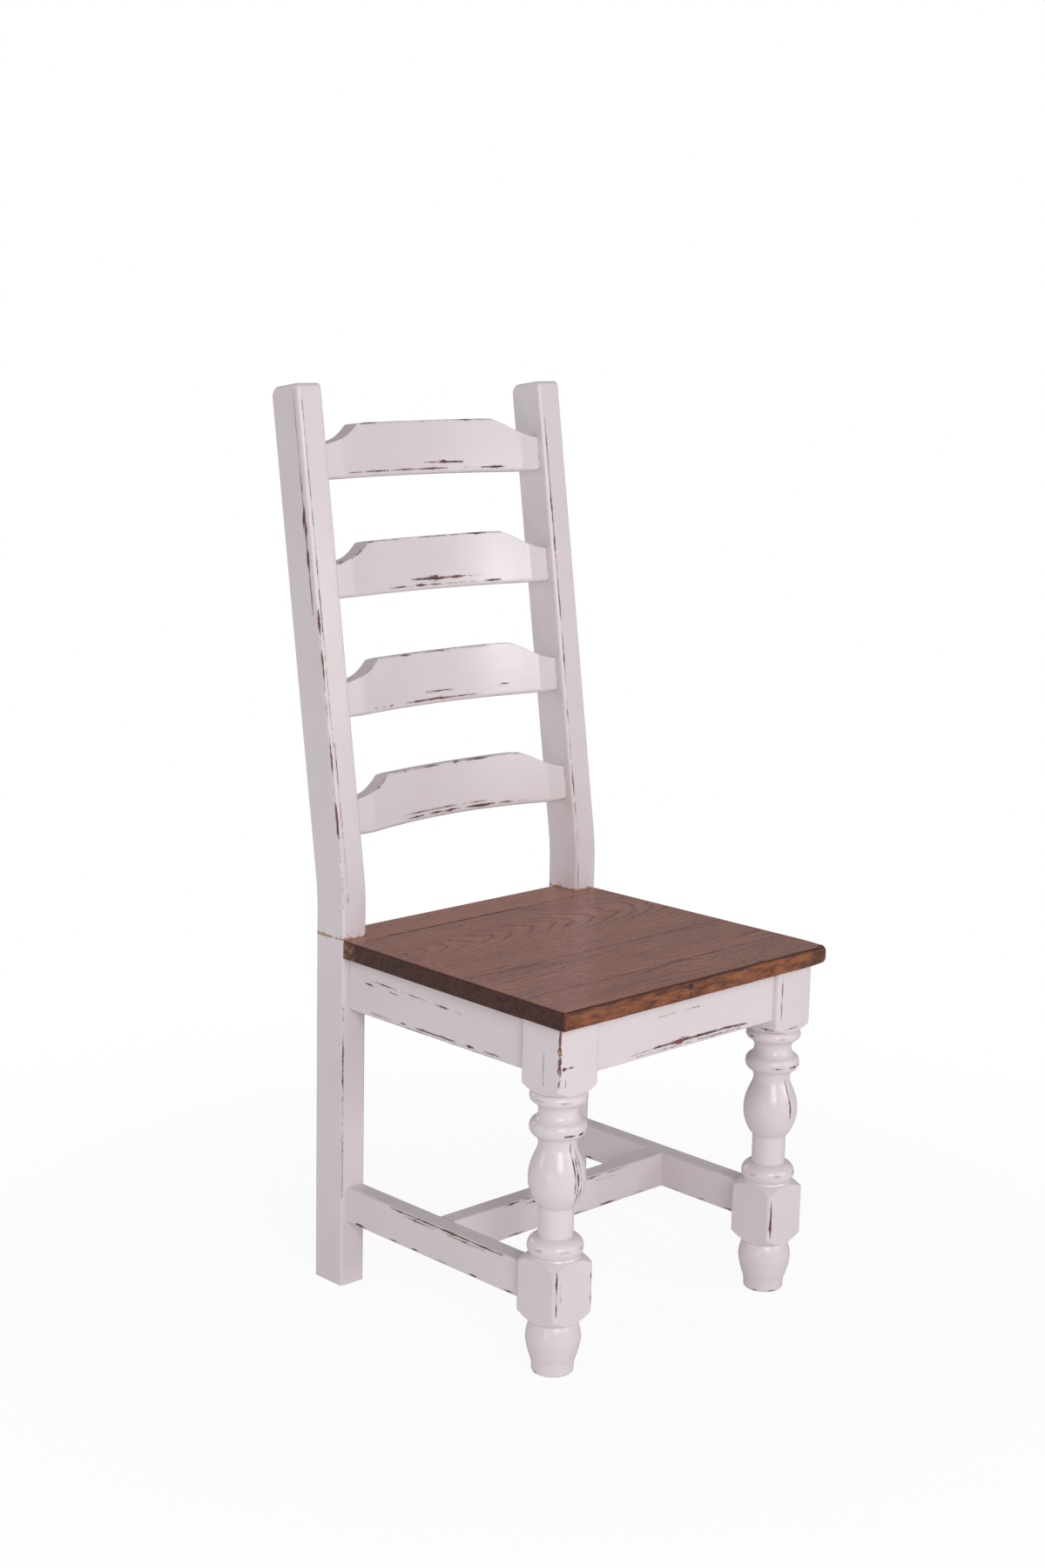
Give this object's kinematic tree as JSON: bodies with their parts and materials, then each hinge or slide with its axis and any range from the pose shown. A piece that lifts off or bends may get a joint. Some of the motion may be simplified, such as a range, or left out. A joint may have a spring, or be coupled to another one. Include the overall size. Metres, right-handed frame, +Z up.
{
  "type": "ladder-back dining chair",
  "caption": "Ladder-back dining chair in worn painted wood, with bowed slats notched at their ends, turned front legs, a stretcher in the shape of an H, and a bare wooden plank seat.",
  "frame": {"origin": "on the floor, in the chair's plane of symmetry, halfway between the front edge of the seat and the rearmost point of the posts", "axes": "-Y is the way a sitter faces, +X is the right side of the chair seen from the front, as in the picture, and +Z is up"},
  "size_m": [0.4676, 0.5496, 1.145],
  "materials": {
    "frame_paint": "off-white gloss paint on wood, worn through to dark red-brown wood on the edges",
    "seat_wood": "reddish brown stained wood under a glossy varnish",
    "block_wood": "bare sawn wood",
    "screw_steel": "plain steel"
  },
  "bodies": {
    "root": {"rear_post_left": "frame_paint", "rear_post_right": "frame_paint", "front_leg_left": "frame_paint", "front_leg_right": "frame_paint", "front_apron": "frame_paint", "rear_apron": "frame_paint", "side_apron_left": "frame_paint", "side_apron_right": "frame_paint", "side_stretcher_left": "frame_paint", "side_stretcher_right": "frame_paint", "cross_stretcher": "frame_paint", "slat_bottom": "frame_paint", "slat_lower": "frame_paint", "slat_upper": "frame_paint", "slat_top": "frame_paint", "seat_board_front": "seat_wood", "seat_board_second": "seat_wood", "seat_board_wide": "seat_wood", "seat_board_rear": "seat_wood", "corner_block_front_left": "block_wood", "corner_block_front_right": "block_wood", "corner_block_rear_left": "block_wood", "corner_block_rear_right": "block_wood", "corner_block_screws": "screw_steel", "seat_screws": "screw_steel"}
  },
  "joints": []
}
